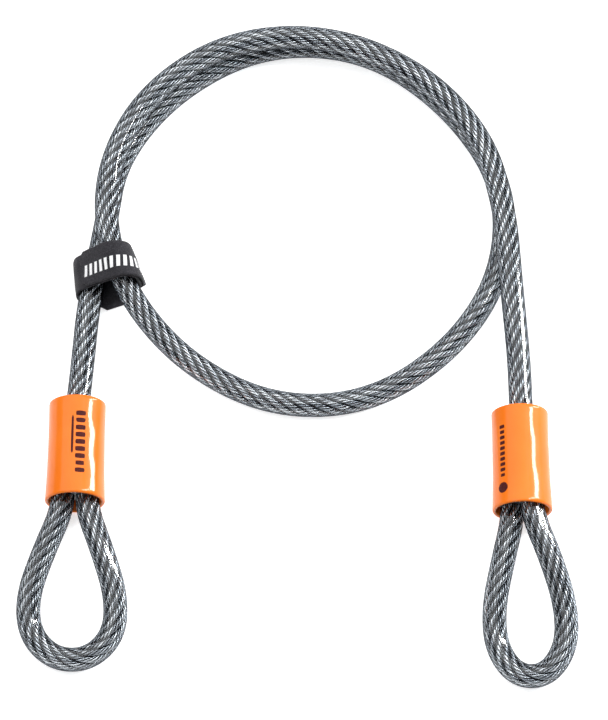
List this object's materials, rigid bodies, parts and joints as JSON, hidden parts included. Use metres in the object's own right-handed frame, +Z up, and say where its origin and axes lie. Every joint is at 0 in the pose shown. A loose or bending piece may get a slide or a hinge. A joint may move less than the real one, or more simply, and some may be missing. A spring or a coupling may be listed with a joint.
{
  "type": "cable lock",
  "caption": "Coiled security cable: jacketed wire rope with an eye at each end, swaged under a sleeve, and a hook-and-loop strap round the coil.",
  "frame": {"origin": "middle of the bounding box on the surface that the cable lies on", "axes": "+Z up from that surface, +Y from the eyes towards the coil, +X from the left eye to the right eye"},
  "size_m": [0.2324, 0.3005, 0.025],
  "materials": {
    "clear_jacket": "glossy, clear with a faint smoke tint",
    "wire_rope": "galvanised wire",
    "ferrule": "pressed, satin",
    "sleeve": "glossy vinyl",
    "strap_tape": "woven nylon loop tape",
    "strap_hooks": "moulded hooks"
  },
  "bodies": {
    "cable": {"main_jacket": "clear_jacket", "left_loop_jacket": "clear_jacket", "right_loop_jacket": "clear_jacket", "centre_strand": "wire_rope", "outer_strand_1": "wire_rope", "outer_strand_2": "wire_rope", "outer_strand_3": "wire_rope", "outer_strand_4": "wire_rope", "outer_strand_5": "wire_rope", "outer_strand_6": "wire_rope", "left_ferrule": "ferrule", "right_ferrule": "ferrule", "left_sleeve": "sleeve", "right_sleeve": "sleeve"},
    "strap": {"strap_band": "strap_tape"},
    "flap": {"strap_flap": "strap_tape", "strap_hook_patch": "strap_hooks"}
  },
  "joints": [
    {"name": "strap_slide", "type": "slide", "parent": "cable", "child": "strap", "axis": [-0.2164, 0.9763, 0], "range_m": [0, 0.008]},
    {"name": "flap_peel", "type": "hinge", "parent": "strap", "child": "flap", "pos_m": [-0.06592, 0.03749, 0.01205], "axis": [-0.2164, 0.9763, 0], "range_deg": [0, 110]}
  ]
}
